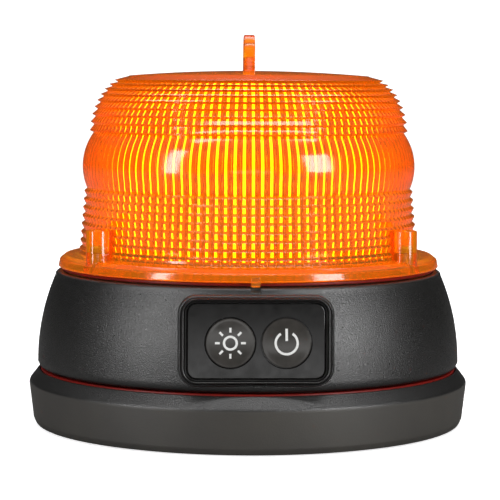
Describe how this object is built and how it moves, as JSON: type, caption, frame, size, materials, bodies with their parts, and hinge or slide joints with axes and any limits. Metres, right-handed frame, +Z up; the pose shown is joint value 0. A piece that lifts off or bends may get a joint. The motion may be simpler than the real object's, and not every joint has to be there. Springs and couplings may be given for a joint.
{
  "type": "barricade warning light",
  "caption": "Round battery warning light: ridged amber dome with a hanging eyelet, black housing with a sprung button on its panel, and a twist-off magnetic foot.",
  "frame": {"origin": "middle of the underside of the rubber pad, where the light stands", "axes": "+Z up along the light's axis to the hanging eyelet; -Y out of the control panel; +X to the panel's right"},
  "size_m": [0.15, 0.15, 0.1324],
  "materials": {
    "amber_lens": "clear moulded amber polycarbonate, ridged outside and fluted inside",
    "housing_abs": "black ABS with a coarse moulded grain",
    "base_nylon": "dark grey-black nylon, finely grained",
    "bezel_rubber": "satin black rubber",
    "button_rubber": "satin black silicone rubber with a printed white symbol",
    "pad_rubber": "matt black rubber",
    "panel_gloss": "gloss black acrylic",
    "seal_silicone": "red silicone rubber",
    "screw_steel": "zinc-plated steel",
    "contact_nickel": "nickel-plated spring steel",
    "tower_aluminium": "extruded aluminium",
    "magnet_ferrite": "sintered ferrite",
    "circuit_board": "green solder mask on glass epoxy",
    "lamp_board": "white solder mask on aluminium",
    "lamp_phosphor": "amber LED phosphor, lit",
    "reflector_white": "gloss white ABS",
    "inner_nylon": "black nylon",
    "cell_sleeve": "printed plastic sleeve, left plain",
    "capacitor_can": "plastic-sleeved can",
    "wire_red": "red PVC",
    "wire_black": "black PVC",
    "wire_grey": "grey PVC"
  },
  "bodies": {
    "base": {"base_cover": "base_nylon", "base_gasket": "seal_silicone", "magnet": "magnet_ferrite", "magnet_plate": "screw_steel", "magnet_screw": "screw_steel", "rubber_pad": "pad_rubber"},
    "housing": {"battery_1": "cell_sleeve", "battery_2": "cell_sleeve", "battery_3": "cell_sleeve", "battery_4": "cell_sleeve", "battery_lead_black": "wire_black", "battery_lead_red": "wire_red", "battery_tray": "inner_nylon", "board_screw_1": "screw_steel", "board_screw_2": "screw_steel", "bridge_front": "contact_nickel", "bridge_rear_left": "contact_nickel", "bridge_rear_right": "contact_nickel", "capacitor": "capacitor_can", "contact_spring_1": "contact_nickel", "contact_spring_2": "contact_nickel", "contact_spring_3": "contact_nickel", "contact_spring_4": "contact_nickel", "housing": "housing_abs", "led_board_1": "lamp_board", "led_board_2": "lamp_board", "led_board_3": "lamp_board", "led_board_4": "lamp_board", "led_board_5": "lamp_board", "led_board_6": "lamp_board", "led_post": "tower_aluminium", "led_strip_1": "lamp_phosphor", "led_strip_2": "lamp_phosphor", "led_strip_3": "lamp_phosphor", "led_strip_4": "lamp_phosphor", "led_strip_5": "lamp_phosphor", "led_strip_6": "lamp_phosphor", "lens": "amber_lens", "lens_gasket": "seal_silicone", "lens_screw_1": "screw_steel", "lens_screw_2": "screw_steel", "lens_screw_3": "screw_steel", "lens_screw_4": "screw_steel", "main_pcb": "circuit_board", "panel_bezel": "bezel_rubber", "panel_overlay": "panel_gloss", "pcb_screw_1": "screw_steel", "pcb_screw_2": "screw_steel", "photo_sensor": "panel_gloss", "reflector": "reflector_white", "sensor_window": "panel_gloss", "switch_board": "circuit_board", "switch_cable": "wire_grey", "tact_switch": "inner_nylon", "terminal_negative": "contact_nickel", "terminal_positive": "contact_nickel", "tower_cap": "tower_aluminium", "wire_connector": "reflector_white"},
    "mode_button": {"mode_button": "button_rubber", "switch_plunger": "inner_nylon"}
  },
  "joints": [
    {"name": "base_twist", "type": "hinge", "parent": "base", "child": "housing", "pos_m": [0, 0, 0], "axis": [0, 0, 1], "range_deg": [0, 30]},
    {"name": "mode_button_press", "type": "slide", "parent": "housing", "child": "mode_button", "axis": [0, 0.9976, -0.0698], "range_m": [0, 0.0008], "stiffness_N_per_m": 1500}
  ]
}
